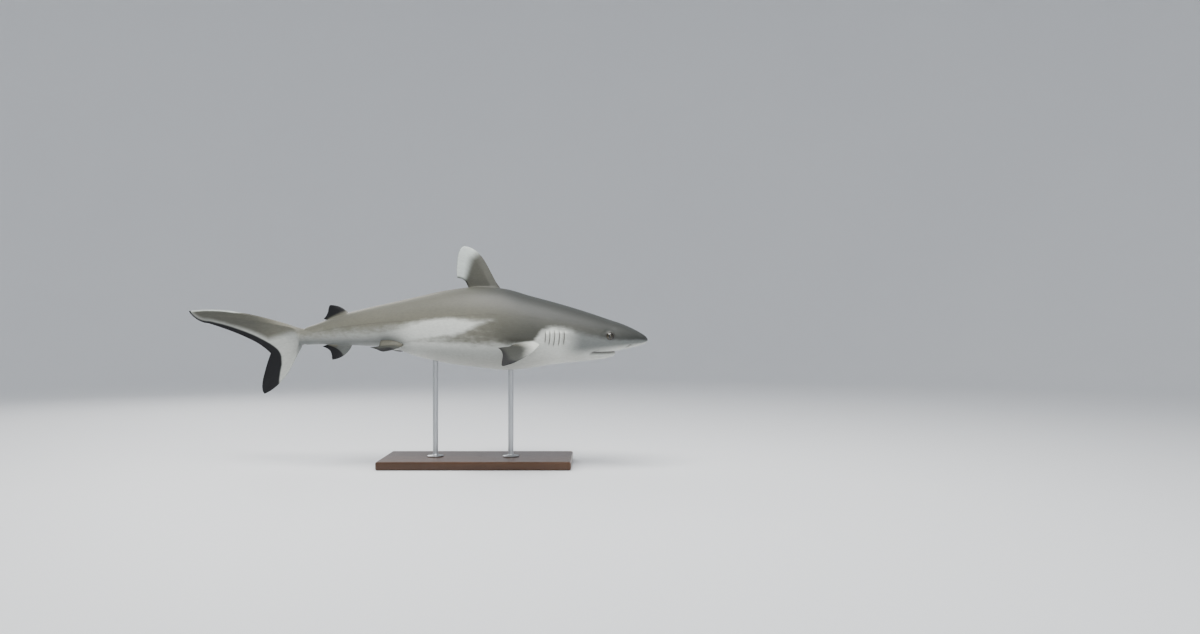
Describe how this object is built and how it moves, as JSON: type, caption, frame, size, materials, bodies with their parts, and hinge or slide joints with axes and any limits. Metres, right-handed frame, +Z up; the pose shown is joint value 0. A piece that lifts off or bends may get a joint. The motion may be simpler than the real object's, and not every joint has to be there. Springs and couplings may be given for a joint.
{
  "type": "grey reef shark display model",
  "caption": "Life-size grey reef shark in a level swimming pose with its tail a little to one side, a still display model held by short rods over a flat base.",
  "frame": {"origin": "middle of the flat underside of the stand's base", "axes": "+X from the tail towards the snout, +Y to the fish's left, +Z up"},
  "size_m": [1.5923, 0.7497, 0.743],
  "materials": {
    "shark_skin": "grey to olive-grey above and white below, black rear fin edges, fine satin grain",
    "eye_surface": "polished, dark with a pale ring and an upright slit pupil",
    "stand_wood": "dark stained, satin lacquer",
    "stand_steel": "brushed"
  },
  "bodies": {
    "root": {"head": "shark_skin", "lower_jaw": "shark_skin", "gill_region": "shark_skin", "trunk_front": "shark_skin", "trunk_rear": "shark_skin", "tail_peduncle": "shark_skin", "first_dorsal_fin": "shark_skin", "second_dorsal_fin": "shark_skin", "anal_fin": "shark_skin", "pectoral_fin_left": "shark_skin", "pectoral_fin_right": "shark_skin", "pelvic_fin_left": "shark_skin", "pelvic_fin_right": "shark_skin", "caudal_fin_upper_lobe": "shark_skin", "caudal_fin_lower_lobe": "shark_skin", "eye_left": "eye_surface", "eye_right": "eye_surface", "stand_base": "stand_wood", "stand_rod_front": "stand_steel", "stand_rod_rear": "stand_steel"}
  },
  "joints": []
}
